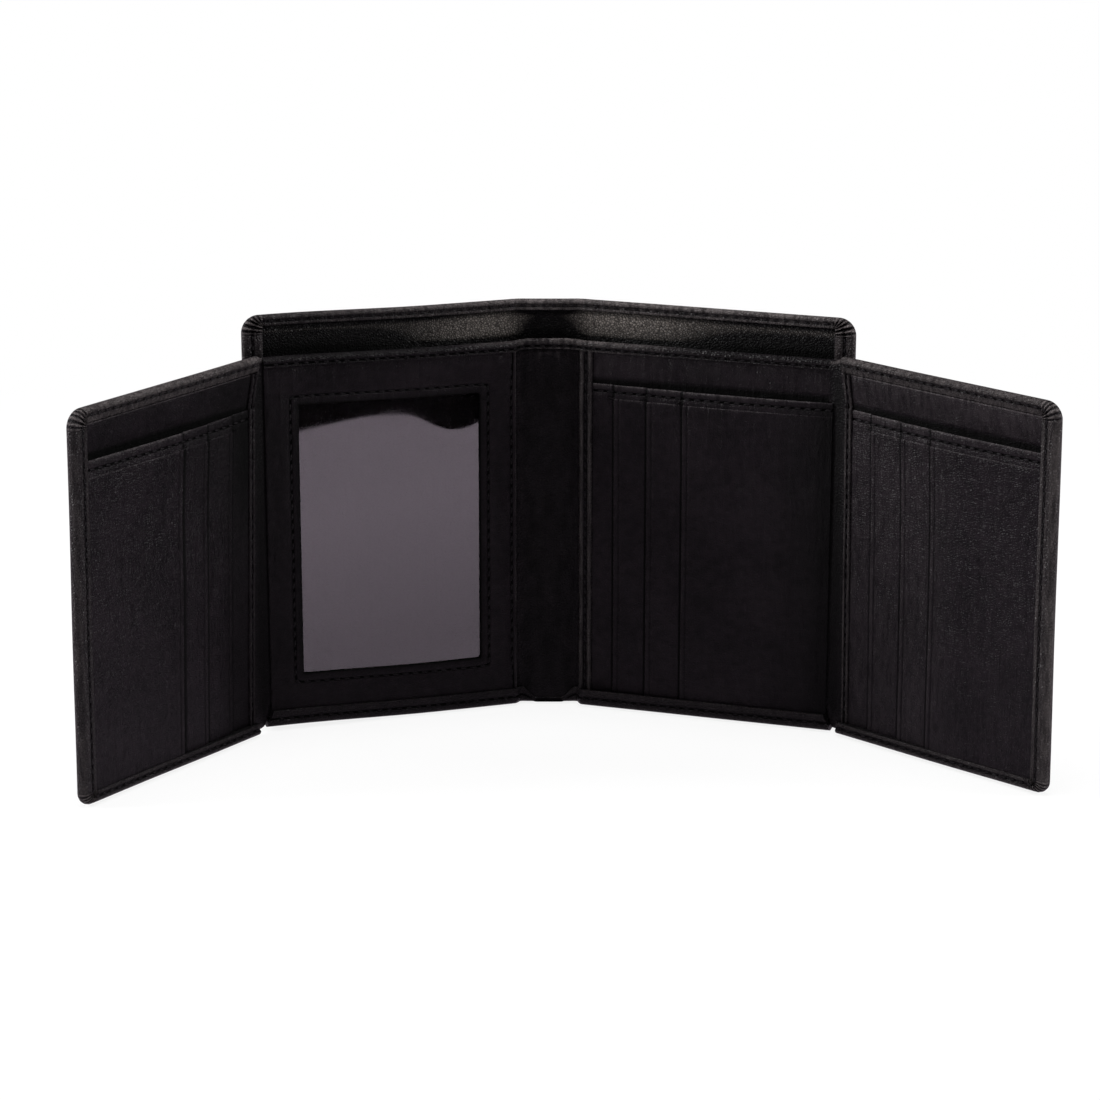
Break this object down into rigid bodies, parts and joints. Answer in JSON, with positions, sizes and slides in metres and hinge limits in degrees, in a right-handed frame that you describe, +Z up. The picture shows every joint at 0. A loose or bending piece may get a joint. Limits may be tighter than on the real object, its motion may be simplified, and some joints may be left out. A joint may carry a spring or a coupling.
{
  "type": "folding wallet",
  "caption": "Folding leather wallet with a banknote compartment, card pockets, a clear ID window and side wings that swing out on soft leather folds.",
  "frame": {"origin": "middle of the spine's lower edge, on the surface that the open wallet stands on", "axes": "+X to the right along the spine's width, +Y away from the open side, +Z up along the folds"},
  "size_m": [0.2648, 0.0887, 0.12],
  "materials": {
    "cover_leather": "smooth black leather with a low sheen",
    "pocket_leather": "thin black leather with a fine grain",
    "lining": "thin dark lining leather with a coarse grain",
    "film": "clear flexible film",
    "thread": "black sewing thread"
  },
  "bodies": {
    "spine": {"cover_spine": "cover_leather", "lining_spine": "lining", "note_wall_spine": "cover_leather", "cover_fold_left": "cover_leather", "lining_fold_left": "lining", "note_wall_fold_left": "cover_leather", "cover_fold_right": "cover_leather", "lining_fold_right": "lining", "note_wall_fold_right": "cover_leather", "cover_thread_spine": "thread", "note_wall_thread_spine": "thread"},
    "left_half": {"cover_left": "cover_leather", "lining_left": "lining", "note_wall_left": "cover_leather", "id_frame": "pocket_leather", "id_film": "film", "left_gusset": "cover_leather", "cover_thread_left": "thread", "note_wall_thread_left": "thread", "id_window_thread": "thread", "id_edge_thread": "thread"},
    "right_half": {"cover_right": "cover_leather", "lining_right": "lining", "note_wall_right": "cover_leather", "card_panel": "pocket_leather", "slip_pocket": "pocket_leather", "card_pocket_1": "pocket_leather", "card_pocket_2": "pocket_leather", "card_pocket_3": "pocket_leather", "trim_strip": "cover_leather", "right_gusset": "cover_leather", "cover_thread_right": "thread", "note_wall_thread_right": "thread", "trim_thread": "thread"},
    "left_wing": {"left_wing_back": "cover_leather", "left_wing_panel": "pocket_leather", "left_slip_pocket": "pocket_leather", "left_card_pocket_1": "pocket_leather", "left_card_pocket_2": "pocket_leather", "left_card_pocket_3": "pocket_leather", "left_trim_strip": "cover_leather", "left_wing_thread": "thread", "left_trim_thread": "thread"},
    "right_wing": {"right_wing_back": "cover_leather", "right_wing_panel": "pocket_leather", "right_slip_pocket": "pocket_leather", "right_card_pocket_1": "pocket_leather", "right_card_pocket_2": "pocket_leather", "right_card_pocket_3": "pocket_leather", "right_trim_strip": "cover_leather", "right_wing_thread": "thread", "right_trim_thread": "thread"}
  },
  "joints": [
    {"name": "left_spine_fold", "type": "hinge", "parent": "spine", "child": "left_half", "pos_m": [-0.0085, -0.00345, 0], "axis": [0, 0, 1], "range_deg": [-17.3, 72.7], "deforming": ["cover_fold_left", "lining_fold_left", "note_wall_fold_left"]},
    {"name": "right_spine_fold", "type": "hinge", "parent": "spine", "child": "right_half", "pos_m": [0.0085, -0.00345, 0], "axis": [0, 0, -1], "range_deg": [-17.3, 72.7], "deforming": ["cover_fold_right", "lining_fold_right", "note_wall_fold_right"]},
    {"name": "left_wing_fold", "type": "hinge", "parent": "left_half", "child": "left_wing", "pos_m": [-0.07945, -0.02953, 0], "axis": [0, 0, 1], "range_deg": [-35, 145], "deforming": ["left_gusset"]},
    {"name": "right_wing_fold", "type": "hinge", "parent": "right_half", "child": "right_wing", "pos_m": [0.07945, -0.02953, 0], "axis": [0, 0, -1], "range_deg": [-25, 155], "deforming": ["right_gusset"]}
  ]
}
